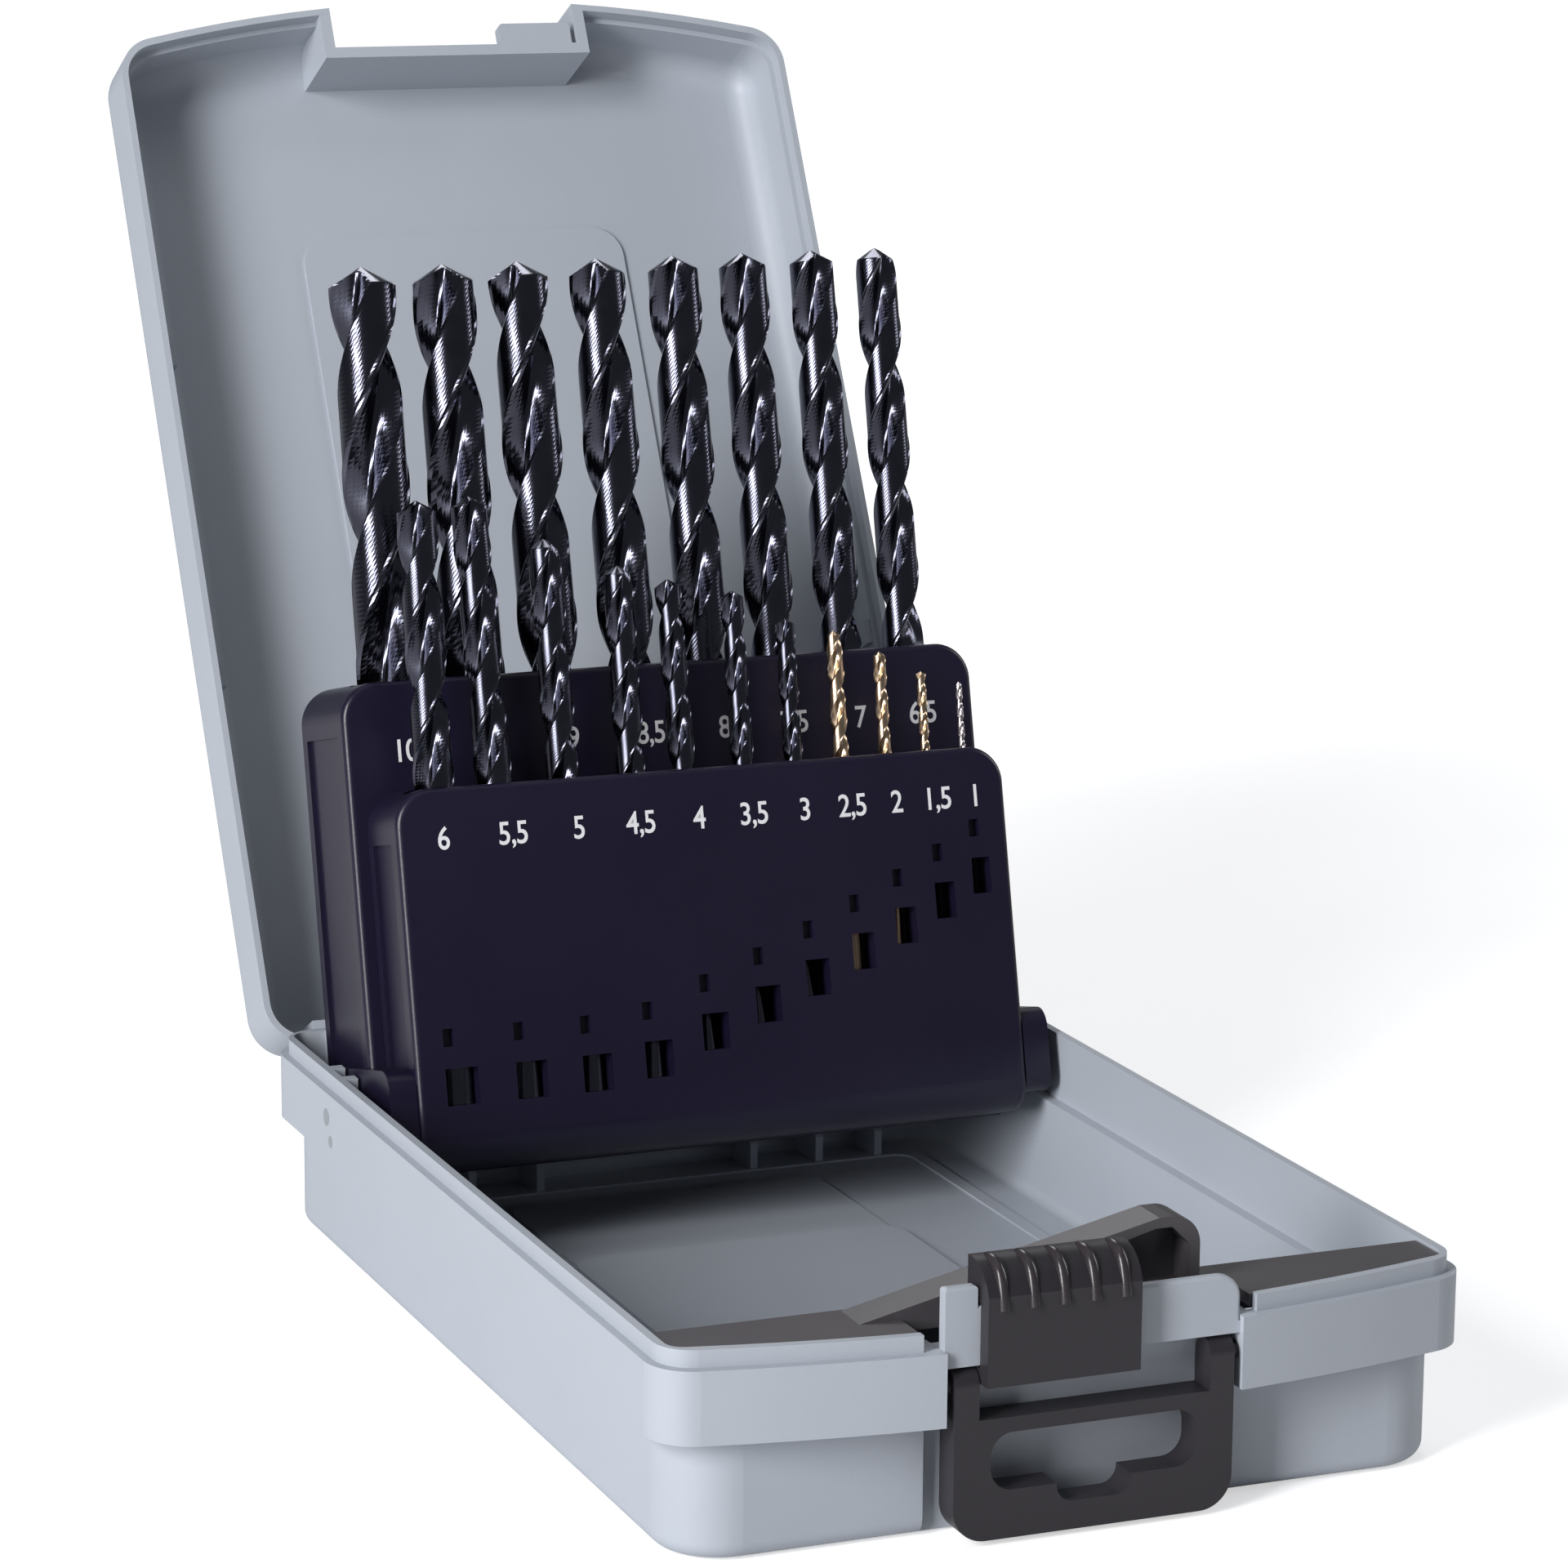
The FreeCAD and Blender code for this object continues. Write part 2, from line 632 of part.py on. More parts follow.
def twist_drill(diameter, length, flute):
    """A two-flute drill standing on its shank: sections turned along the lead, cut to a point."""
    radius = diameter / 2
    lead = flute_lead * diameter
    shank = length - flute
    steps = math.ceil(360 * flute / lead / section_turn)
    sections = []
    for i in range(steps + 1):
        rise = flute * i / steps
        web = runout_share if i == 0 else web_share
        sections.append(flute_section(radius, 360 * rise / lead, shank + rise, web))
    body = Part.makeLoft(sections, True, False)
    half_point = math.radians(point_angle / 2)
    tip = radius / math.tan(half_point)
    outline = [V(0, 0, 0), V(radius + 0.01, 0, 0), V(radius + 0.01, 0, length - tip), V(0, 0, length)]
    envelope = Part.Face(Part.makePolygon(outline + outline[:1])).revolve(V(0, 0, 0), Z_AXIS, 360)
    body = body.common(envelope)
    chamfer = shank_chamfer * diameter
    foot = Part.makeCone(radius - chamfer, radius, chamfer)
    stem = Part.makeCylinder(radius, shank - chamfer, V(0, 0, chamfer))
    return body.fuse([foot, stem]).removeSplitter()


def seated_drill(drill, x, y, stand, lean):
    shape = twist_drill(*drill[:3])
    shape.rotate(V(0, 0, 0), Y_AXIS, lean)
    shape.translate(V(x, y, stand))
    return lean_back(shape)


def latch_slider():
    """A thumb slide astride the rail: skirt in front, ribbed cap above, leg behind."""
    x0 = -notch_half + stop_width + slider_gap
    front = rail_face - slider_gap - slider_skirt
    back = rail_back + slider_gap
    leg_back = back + slider_leg
    leg_bottom = base_height + tab_thickness + slider_gap
    under = rail_top + slider_gap
    hook_back = rail_face + slider_hook
    hook_top = rail_bottom - slider_gap
    skirt_bottom = base_height - skirt_below
    front_top = V(x0, front, rail_top + slider_front_rise - slider_crown)
    rear_top = V(x0, leg_back, rail_top + slider_rear_rise)
    crown = (front_top + rear_top) * 0.5 + V(0, -slider_crown, slider_crown)
    inner = [(leg_back, leg_bottom), (back, leg_bottom), (back, under), (rail_face - slider_gap, under),
             (rail_face - slider_gap, hook_top), (hook_back, hook_top), (hook_back, skirt_bottom),
             (front, skirt_bottom)]
    points = [rear_top] + [V(x0, y, z) for y, z in inner] + [front_top]
    edges = [Part.LineSegment(a, b).toShape() for a, b in zip(points, points[1:])]
    edges.append(Part.Arc(front_top, crown, rear_top).toShape())
    body = Part.Face(Part.Wire(edges)).extrude(V(slider_width, 0, 0))
    slope = rear_top - front_top
    for i in range(grip_count):
        x = slider_width / 2 + (i - (grip_count - 1) / 2) * grip_pitch
        foot = crown + V(x, 0, grip_radius / 3) - slope * 2
        body = body.cut(Part.makeCylinder(grip_radius, slope.Length * 4, foot, slope))
    return body


def hanger():
    """The folding hanger: two arms, a crossbar and a plate with a euro hole between them."""
    half_t = hanger_thickness / 2
    through = hanger_thickness
    low = hanger_z - hanger_length
    crossbar_top = hanger_z - crossbar_drop
    euro_top = hanger_z - euro_drop
    euro_low = euro_top - euro_height
    plate = box(-hanger_half, hanger_half, hanger_y - half_t, hanger_y + half_t, low, hanger_z)
    corners = [e for e in edges_across(plate) if e.BoundBox.ZMax < low + 1]
    plate = plate.makeFillet(hanger_corner, corners)
    inner = hanger_half - hanger_arm
    hole = box(-euro_half, euro_half, hanger_y - through, hanger_y + through, euro_low, euro_top)
    hole = hole.makeFillet(euro_corner, edges_across(hole))
    throat_low = euro_low - euro_notch_depth
    throat = box(-euro_notch_half, euro_notch_half, hanger_y - through, hanger_y + through, throat_low,
                 euro_low + euro_corner)
    throat = throat.makeFillet(euro_notch_depth * 0.9,
                               [e for e in edges_across(throat) if e.BoundBox.ZMax < throat_low + 1])
    upper = box(-inner, inner, hanger_y - through, hanger_y + through, crossbar_top, hanger_z + through)
    plate = plate.cut([hole, throat, upper])
    for side in (-1, 1):
        a, b = sorted((side * inner, side * hanger_half))
        plate = plate.fuse(x_rod(half_t, a, b, hanger_y, hanger_z))
        pin_end = notch_half + hanger_pin_length - hanger_pin_play
        c, d = sorted((side * (hanger_half - 1), side * pin_end))
        plate = plate.fuse(x_rod(hanger_pin_radius, c, d, hanger_y, hanger_z))
    return plate.removeSplitter()


def edges_across(solid):
    """Edges that run front to back."""
    return [e for e in solid.Edges if e.BoundBox.YLength > 1]


def catch_strip():
    """The dark strip that fills the bow behind the latch, with its raised, open-fronted hood."""
    inset = band_wall + strip_clearance
    plate = plan_prism(half_width - inset, strip_rear_y + 20, front_y + inset, front_bow, strip_low,
                       strip_top, band_inner_radius)
    plate = plate.cut(box(-half_width, half_width, strip_rear_y, strip_rear_y + 30, strip_low - 1,
                          strip_top + 1))
    half = notch_half + notch_wall + slider_gap
    plate = plate.cut(box(-half, half, bow_front, strip_front_y, strip_low - 1, strip_top + 1))
    skirt = box(-half_width + inset, half_width - inset, strip_rear_y - strip_skirt, strip_rear_y,
                strip_low - strip_skirt_height, strip_low + 0.1)
    foot = strip_top - 0.1
    peak = strip_top + hood_height
    outline = [(hood_start, foot), (hood_peak, peak), (hood_end, peak), (hood_end, foot)]
    hood = across_profile(outline, strip_front_y, hood_width)
    nose = [e for e in edges_across(hood) if e.BoundBox.ZMin > peak - 1 and e.BoundBox.XMin > hood_end - 1]
    hood = hood.makeFillet(hood_round, nose)
    slope = math.atan2(hood_height, hood_peak - hood_start)
    toe = hood_start + hood_thickness / math.sin(slope)
    under = [(toe, foot - 1), (toe + 1 / math.tan(slope), foot - 0.1),
             (hood_peak - 0.5, peak - hood_thickness), (hood_end - hood_round, peak - hood_thickness),
             (hood_end - hood_thickness, peak - hood_round), (hood_end - hood_thickness, foot - 1)]
    room = across_profile(under, strip_front_y - 1, hood_width - hood_thickness + 1)
    return plate.fuse([skirt, hood.cut(room)]).removeSplitter()


def across_profile(points, y, width):
    """A solid front to back from a closed outline of (x, z) points."""
    wire = Part.makePolygon([V(x, y, z) for x, z in points + points[:1]])
    return Part.Face(wire).extrude(V(0, width, 0))


def drill_name(diameter):
    return "drill_" + ("%.1f" % diameter).replace(".", "_")


def build():
    nodes = {
        "base_tray": base_tray(),
        "lid": lid(),
        "hinge_pin_left": hinge_pin(-1),
        "hinge_pin_right": hinge_pin(1),
        "rear_holder": rear_holder(),
        "front_holder": front_holder(),
        "holder_foot_left": holder_foot(-1),
        "holder_foot_right": holder_foot(1),
        "latch_slider": latch_slider(),
        "hanger": hanger(),
        "catch_strip": catch_strip(),
    }
    places = row_places(rear_drills, rear_row_gap, rear_row_shift)
    for x, drill in zip(places, rear_drills):
        nodes[drill_name(drill[0])] = seated_drill(drill, x, 0, rear_stand(drill), 0)
    places = row_places(front_drills, front_row_gap, front_row_shift)
    for x, drill, lean in zip(places, front_drills, front_leans):
        nodes[drill_name(drill[0])] = seated_drill(drill, x, -front_row, drill[3], lean)
    return nodes


for name, shape in build().items():
    shape.exportStep("parts/%s.step" % name)
    box_size = shape.BoundBox
    print("%-18s solids %d valid %s  %.1f x %.1f x %.1f mm  %.1f cm3" % (
        name, len(shape.Solids), shape.isValid(), box_size.XLength, box_size.YLength,
        box_size.ZLength, shape.Volume / 1000))
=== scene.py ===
import math

import bpy
from mathutils import Matrix, Vector


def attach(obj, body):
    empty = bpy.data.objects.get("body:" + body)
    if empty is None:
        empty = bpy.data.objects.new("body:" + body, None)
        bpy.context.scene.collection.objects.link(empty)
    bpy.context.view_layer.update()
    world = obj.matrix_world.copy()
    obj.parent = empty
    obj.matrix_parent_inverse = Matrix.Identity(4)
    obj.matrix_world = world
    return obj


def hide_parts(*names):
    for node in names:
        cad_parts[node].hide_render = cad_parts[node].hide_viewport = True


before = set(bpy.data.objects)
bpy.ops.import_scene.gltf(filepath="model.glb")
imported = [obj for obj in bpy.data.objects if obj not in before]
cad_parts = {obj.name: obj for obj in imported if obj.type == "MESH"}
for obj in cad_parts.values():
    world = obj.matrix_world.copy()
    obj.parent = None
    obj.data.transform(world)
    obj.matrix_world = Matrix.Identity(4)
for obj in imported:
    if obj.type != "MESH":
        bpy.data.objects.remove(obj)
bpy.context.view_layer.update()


# Case: the base tray with its bowed front, and the lid that leans back on the hinge.
# Both are injection moulded in one light blue-grey plastic, satin, with the fine grain of the
# mould, and the colour clouds a little from place to place.
class Plan:
    """A node tree that is put together node by node."""

    def __init__(self, tree):
        self.tree = tree
        self.tree.nodes.clear()

    def node(self, kind, inputs=None, output=0, **settings):
        """Adds a node, sets it up, gives its sockets values or links, and returns one output."""
        made = self.tree.nodes.new(kind)
        for name, value in settings.items():
            setattr(made, name, value)
        for name, value in (inputs or {}).items():
            if isinstance(value, Amount):
                self.tree.links.new(value.socket, made.inputs[name])
            elif made.inputs[name].type == "RGBA":
                made.inputs[name].default_value = (*value, 1.0)
            else:
                made.inputs[name].default_value = value
        return Amount(self, made.outputs[output]) if made.outputs else None


class Amount:
    """One output of a node, for use in sums as a number is."""

    def __init__(self, plan, socket):
        self.plan = plan
        self.socket = socket

    def maths(self, operation, *others):
        """The result of one of Blender's maths operations on this and the others."""
        values = dict(enumerate((self, *others)))
        return self.plan.node("ShaderNodeMath", values, operation=operation)

    def __add__(self, other):
        return self.maths("ADD", other)

    __radd__ = __add__

    def __mul__(self, other):
        return self.maths("MULTIPLY", other)

    __rmul__ = __mul__

    def __sub__(self, other):
        return self.maths("SUBTRACT", other)

    def __rsub__(self, other):
        return self.plan.node("ShaderNodeMath", {0: other, 1: self}, operation="SUBTRACT")

    def __truediv__(self, other):
        return self.maths("DIVIDE", other)

    def __pow__(self, other):
        return self.maths("POWER", other)

    def above(self, other):
        """1 where this is more than the other, and 0 elsewhere."""
        return self.maths("GREATER_THAN", other)

    def least(self, other):
        """The lesser of this and the other."""
        return self.maths("MINIMUM", other)

    def most(self, other):
        """The greater of this and the other."""
        return self.maths("MAXIMUM", other)


class Finish(Plan):
    """A material's node tree."""

    def __init__(self, name):
        self.material = bpy.data.materials.new(name)
        self.material.use_nodes = True
        super().__init__(self.material.node_tree)

    def blend(self, share, low, high):
        """The colour that lies between two colours."""
        colours = {"Factor": share, 6: low, 7: high}
        return self.node("ShaderNodeMix", colours, 2, data_type="RGBA")

    def place(self):
        """Where a point of the piece is, in metres."""
        return self.node("ShaderNodeTexCoord", output=3)

    def grain(self, size, detail=2.0):
        """An even random pattern, 0 to 1, whose patches are about size across, in metres."""
        sizes = {"Vector": self.place(), "Scale": 1.0 / size, "Detail": detail, "Roughness": 0.55}
        return self.node("ShaderNodeTexNoise", sizes)

    def relief(self, height, depth):
        """The surface's direction where it is raised by height, 0 to 1, times depth in metres."""
        return self.node("ShaderNodeBump", {"Strength": 1.0, "Distance": depth, "Height": height})

    def surface(self, shader):
        """Makes a shader the material's surface and returns the material."""
        self.node("ShaderNodeOutputMaterial", {"Surface": shader})
        return self.material


def moulded_plastic(name, dark, light, shine, grain_size, grain_depth):
    """A moulded plastic: cloudy colour, uneven gloss and the mould's fine grain."""
    cloud_size, cloud_share = 0.028, 0.75
    cloud_gloss, grain_gloss = 0.12, 0.10
    plastic_ior = 1.49
    finish = Finish(name)
    clouds = finish.grain(cloud_size, 3.0)
    fine = finish.grain(grain_size, 1.0)
    colour = finish.blend(clouds * cloud_share + fine * (1.0 - cloud_share), dark, light)
    gloss = shine + (clouds - 0.5) * cloud_gloss + (fine - 0.5) * grain_gloss
    shader = finish.node(
        "ShaderNodeBsdfPrincipled",
        {
            "Base Color": colour,
            "Roughness": gloss,
            "IOR": plastic_ior,
            "Normal": finish.relief(fine, grain_depth),
        },
    )
    return finish.surface(shader)


def dress(names, material):
    """Gives CAD nodes a material in every one of their slots."""
    for name in names:
        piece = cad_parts[name]
        for place in piece.material_slots:
            place.material = material
        if not piece.material_slots:
            piece.data.materials.append(material)


case_plastic = moulded_plastic(
    "moulded blue-grey plastic",
    dark=(0.400, 0.432, 0.485),
    light=(0.440, 0.474, 0.530),
    shine=0.46,
    grain_size=0.00032,
    grain_depth=0.000012,
)
dress(["base_tray", "lid"], case_plastic)


# Dents: two small round marks on the left wall, outside, beside the holder's pivot.
# Their shade is painted: thin discs of the case's plastic in a darker, matt tint, laid flat on
# the wall.
# Painted shade: this darker, matt tint stands in for the shade inside the two marks.
painted_shade_plastic = moulded_plastic(
    "matt blue-grey plastic",
    dark=(0.270, 0.295, 0.320),
    light=(0.310, 0.335, 0.360),
    shine=0.65,
    grain_size=0.00032,
    grain_depth=0.000012,
)
left_wall = -0.056755
dent_lift = 0.00003
dent_sides = 32
# How far back, how high and what radius
dents = ((0.0539, 0.0222, 0.0013), (0.0520, 0.0189, 0.0009))
side_angles = [math.tau * side / dent_sides for side in range(dent_sides)]
points, faces = [], []
for back, up, radius in dents:
    faces.append([len(points) + side for side in range(dent_sides)])
    for angle in side_angles:
        y = back - radius * math.cos(angle)
        z = up + radius * math.sin(angle)
        points.append((left_wall - dent_lift, y, z))
dent_mesh = bpy.data.meshes.new("wall_mark_shade_discs")
dent_mesh.from_pydata(points, [], faces)
dent_mesh.materials.append(painted_shade_plastic)
wall_mark_shade_discs = bpy.data.objects.new("wall_mark_shade_discs", dent_mesh)
bpy.context.scene.collection.objects.link(wall_mark_shade_discs)
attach(wall_mark_shade_discs, "base")


# Hinge pins: two drawn steel wires, left and right, through the knuckles of base and lid.
# They are cut to length, with chamfered ends, and lie on the axis that the lid turns about.
wire_grain = 0.0004
wire_gloss, wire_gloss_swing = 0.25, 0.2
finish = Finish("drawn steel")
drawn = finish.grain(wire_grain)
shader = finish.node(
    "ShaderNodeBsdfPrincipled",
    {
        "Base Color": finish.blend(drawn, (0.46, 0.46, 0.47), (0.58, 0.58, 0.59)),
        "Metallic": 1.0,
        "Roughness": drawn * wire_gloss_swing + wire_gloss,
    },
)
dress(["hinge_pin_left", "hinge_pin_right"], finish.surface(shader))


# Holder: a rear and a front block of pockets, and the two feet whose stubs it tilts on.
# They are moulded in near-black plastic with a violet cast, smoother than the case, and the
# stubs stand in slots in the base's side walls.
holder_plastic = moulded_plastic(
    "moulded near-black plastic",
    dark=(0.0065, 0.0045, 0.0180),
    light=(0.0100, 0.0075, 0.0260),
    shine=0.34,
    grain_size=0.00028,
    grain_depth=0.000007,
)
holder_nodes = ["rear_holder", "front_holder", "holder_foot_left", "holder_foot_right"]
dress(holder_nodes, holder_plastic)


# Printed sizes: a number in millimetres in front of each drill, with a decimal comma.
# They are printed in white ink on the front faces of the two blocks, a few hundredths thick.
holder_lean = math.radians(13.35)
holder_datum = Vector((0.0, 0.05537, 0.01587))
along_drills = Vector((0.0, math.sin(holder_lean), math.cos(holder_lean)))
out_of_block = Vector((0.0, -math.cos(holder_lean), math.sin(holder_lean)))
number_height = 0.0034
number_share = 0.72  # a figure's height in the height of its line
number_width = 0.86
number_spacing = 0.95
ink_thickness = 0.00003
ink_spread = 0.00005
ink_grain = 0.00025
ink_gloss, ink_gloss_swing = 0.4, 0.2
rear_sizes = (10, 9.5, 9, 8.5, 8, 7.5, 7, 6.5)
front_sizes = (6, 5.5, 5, 4.5, 4, 3.5, 3, 2.5, 2, 1.5, 1)

finish = Finish("white printing ink")
speckle = finish.grain(ink_grain)
shader = finish.node(
    "ShaderNodeBsdfPrincipled",
    {
        "Base Color": finish.blend(speckle, (0.74, 0.74, 0.77), (0.86, 0.86, 0.88)),
        "Roughness": speckle * ink_gloss_swing + ink_gloss,
    },
)
ink = finish.surface(shader)


def row_places(sizes, gap, shift):
    """The x of each drill in a row, with even gaps between neighbours' sides."""
    diameters = [size / 1000 for size in sizes]
    places = []
    edge = shift - (sum(diameters) + gap * (len(diameters) - 1)) / 2
    for diameter in diameters:
        places.append(edge + diameter / 2)
        edge += diameter + gap
    return places


def printed_number(size, place):
    """The mesh of one number, lying on the block's face with its middle at the place."""
    text = bpy.data.curves.new("printed number", "FONT")
    text.body = f"{size:g}".replace(".", ",")
    text.align_x = "CENTER"
    text.align_y = "CENTER"
    text.size = number_height / number_share
    text.space_character = number_spacing
    text.extrude = ink_thickness
    text.offset = ink_spread
    text.resolution_u = 4
    written = bpy.data.objects.new("printed number", text)
    mesh = bpy.data.meshes.new_from_object(written)
    across = Vector((number_width, 0.0, 0.0))
    turn = Matrix((across, along_drills, out_of_block)).transposed().to_4x4()
    mesh.transform(Matrix.Translation(place) @ turn)
    bpy.data.objects.remove(written)
    return mesh


def printed_numbers(name, sizes, places, out, up):
    """One piece with a row's numbers, out from the drills' row and up from the datum."""
    line = holder_datum + along_drills * up + out_of_block * out
    points, faces = [], []
    for size, x in zip(sizes, places):
        mesh = printed_number(size, line + Vector((x, 0.0, 0.0)))
        start = len(points)
        points += [vertex.co.copy() for vertex in mesh.vertices]
        faces += [[start + index for index in face.vertices] for face in mesh.polygons]
    whole = bpy.data.meshes.new(name)
    whole.from_pydata(points, [], faces)
    whole.materials.append(ink)
    piece = bpy.data.objects.new(name, whole)
    bpy.context.scene.collection.objects.link(piece)
    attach(piece, "holder")


rear_places = row_places(rear_sizes, gap=0.00363, shift=-0.00046)
front_places = row_places(front_sizes, gap=0.00493, shift=-0.00023)
printed_numbers("printed_sizes_rear", rear_sizes, rear_places, out=0.0062, up=0.0583)
printed_numbers("printed_sizes_front", front_sizes, front_places, out=0.0206, up=0.0450)


# Twist drills: nineteen jobber drills, 10 to 1 mm, loose in the blocks' pockets.
# They are tool steel with ground flutes and points, blackened in steam down to 3 mm. The next
# three are straw-gold and the smallest is bright, and the edges of the lands shine on all.
def drill_finish(name, dark, light, rough):
    """A steel whose tint clouds a little, and is lightest on the polished margins."""
    tint_size, grinding_size = 0.004, 0.00022
    tint_gloss, grinding_gloss = 0.08, 0.12
    polish_share = 0.9
    finish = Finish(name)
    tint = finish.grain(tint_size, 3.0)
    grinding = finish.grain(grinding_size)
    polish = finish.node("ShaderNodeAttribute", output="Fac", attribute_name="polish")
    shader = finish.node(
        "ShaderNodeBsdfPrincipled",
        {
            "Base Color": finish.blend((tint + polish * polish_share).least(1.0), dark, light),
            "Metallic": 1.0,
            "Roughness": rough + (grinding - 0.5) * grinding_gloss + (tint - 0.5) * tint_gloss,
        },
    )
    return finish.surface(shader)


black_oxide = drill_finish(
    "black oxide on steel",
    dark=(0.062, 0.063, 0.088),
    light=(0.108, 0.110, 0.140),
    rough=0.16,
)
straw_gold = drill_finish(
    "straw gold oxide on steel",
    dark=(0.50, 0.35, 0.22),
    light=(0.72, 0.55, 0.40),
    rough=0.24,
)
bright_steel = drill_finish(
    "bright ground steel",
    dark=(0.50, 0.44, 0.46),
    light=(0.68, 0.62, 0.64),
    rough=0.26,
)


class Recipe(Plan):
    """A Geometry Nodes tree with named lengths and a material to fill in."""

    def __init__(self, name, lengths):
        super().__init__(bpy.data.node_groups.new(name, "GeometryNodeTree"))
        kinds = {"Material": "NodeSocketMaterial"}
        kinds |= {length: "NodeSocketFloat" for length in lengths}
        face = self.tree.interface
        face.new_socket(name="Geometry", in_out="OUTPUT", socket_type="NodeSocketGeometry")
        self.places = {}
        self.given = {}
        for label, kind in kinds.items():
            socket = face.new_socket(name=label, in_out="INPUT", socket_type=kind)
            self.places[label] = socket.identifier
        for label in kinds:
            self.given[label] = self.node("NodeGroupInput", output=label)

    def finish(self, shape):
        """Ends the tree: the shape's copies made real, in the given material."""
        real = self.node("GeometryNodeRealizeInstances", {"Geometry": shape})
        coat = {"Geometry": real, "Material": self.given["Material"]}
        dressed = self.node("GeometryNodeSetMaterial", coat)
        self.node("NodeGroupOutput", {"Geometry": dressed})

    def baked(self, name, values, place):
        """A plain mesh that the tree makes from the values, moved to its place."""
        piece = bpy.data.objects.new(name, bpy.data.meshes.new(name))
        bpy.context.scene.collection.objects.link(piece)
        modifier = piece.modifiers.new(name, "NODES")
        modifier.node_group = self.tree
        for label, value in values.items():
            modifier[self.places[label]] = value
        graph = bpy.context.evaluated_depsgraph_get()
        mesh = bpy.data.meshes.new_from_object(piece.evaluated_get(graph), depsgraph=graph)
        mesh.transform(place)
        piece.modifiers.remove(modifier)
        piece.data = mesh
        return piece


drill_plan = Recipe("twist drill", ("Diameter", "Length", "Flute", "Turn"))
diameter = drill_plan.given["Diameter"]
length = drill_plan.given["Length"]

foot_rows, flute_rows, point_rows = 3, 120, 12
last_row = foot_rows + flute_rows + point_rows
columns = 72
point_slope = math.tan(math.radians(59.0))
land_half = math.radians(42.5)
margin_angle = math.radians(10.0)
sharp_edge = math.radians(32.0)
core_share = 0.30
back_clearance = 0.045
hollow_start = 0.0001
nearly_touching = 2e-7
radius = diameter * 0.5
lead = diameter * 5.7
chamfer = diameter * 0.04
run_out_length = diameter * 0.8
flute_foot = length - drill_plan.given["Flute"]
point_foot = length - radius / point_slope

# A flat sheet of rows and columns is rolled up: its rows climb the drill, its columns go round
grid = drill_plan.node(
    "GeometryNodeMeshGrid",
    {"Size X": 1.0, "Size Y": 1.0, "Vertices X": last_row + 1, "Vertices Y": columns + 1},
)
where = drill_plan.node("GeometryNodeInputPosition")
row = (drill_plan.node("ShaderNodeSeparateXYZ", {0: where}, 0) + 0.5) * last_row
around = (drill_plan.node("ShaderNodeSeparateXYZ", {0: where}, 1) + 0.5) * math.tau

# How high each row stands: foot, chamfer and shank, then the flutes, then the point
up_flute = ((row - foot_rows) / flute_rows).most(0.0).least(1.0)
up_point = ((row - (foot_rows + flute_rows)) / point_rows).most(0.0)
fluted = flute_foot + up_flute * (point_foot - flute_foot) + up_point * (length - point_foot)
in_flutes = row.above(foot_rows - 0.5)
past_chamfer = row.above(1.5)
past_middle = row.above(0.5)
height = in_flutes * fluted + (1.0 - in_flutes) * past_chamfer * chamfer

# How far each column reaches: two lands with raised margins, and two hollows between them
from_land = around - (around / math.pi).maths("ROUND") * math.pi
hollow = ((from_land.maths("ABSOLUTE") - land_half) / (math.pi / 2 - land_half)).most(0.0)
on_land = 1.0 - hollow.above(hollow_start)
run_out = ((height - flute_foot) / run_out_length).most(0.0).least(1.0)
depth = (1.0 - (1.0 - hollow) ** 3.0) * (1.0 - core_share)
margin = from_land.above(land_half - margin_angle) * on_land
body = radius * (1.0 - run_out * (depth + (1.0 - margin) * on_land * back_clearance))
pointed = (length - height) * point_slope
reach = (body - (1.0 - past_chamfer) * chamfer).least(pointed) * past_middle
angle = around + (height - flute_foot) / lead * math.tau + drill_plan.given["Turn"]
across = reach * angle.maths("COSINE")
deep = reach * angle.maths("SINE")
spot = drill_plan.node("ShaderNodeCombineXYZ", {"X": across, "Y": deep, "Z": height})

shaped = drill_plan.node(
    "GeometryNodeStoreNamedAttribute",
    {"Geometry": grid, "Name": "polish", "Value": margin * run_out},
    data_type="FLOAT",
    domain="POINT",
)
shaped = drill_plan.node("GeometryNodeSetPosition", {"Geometry": shaped, "Position": spot})
shaped = drill_plan.node(
    "GeometryNodeMergeByDistance",
    {"Geometry": shaped, "Distance": nearly_touching},
)
bend = drill_plan.node("GeometryNodeInputMeshEdgeAngle")
shaped = drill_plan.node(
    "GeometryNodeSetShadeSmooth",
    {"Geometry": shaped, "Selection": bend.above(sharp_edge), "Shade Smooth": False},
    domain="EDGE",
)
drill_plan.finish(shaped)

# Each drill's length and flutes in millimetres, then its turn and its lean in degrees
rear_drills = (
    (133, 87, 139, 0.40),
    (125, 81, 175, 0.07),
    (125, 81, 112, -0.40),
    (117, 75, 137, -0.30),
    (117, 75, 134, -0.08),
    (109, 69, 150, -0.10),
    (109, 69, 132, 0.20),
    (101, 63, 170, 0.40),
)
front_drills = (
    (93, 57, 125, 0.80),
    (93, 57, 99, -0.85),
    (86, 52, 139, -0.30),
    (80, 47, 135, 0.80),
    (75, 43, 15, -0.30),
    (70, 39, 20, 0.80),
    (61, 33, 14, 0.90),
    (57, 30, 60, 1.00),
    (49, 24, 20, 1.10),
    (40, 18, 100, 1.20),
    (34, 12, 40, 1.30),
)
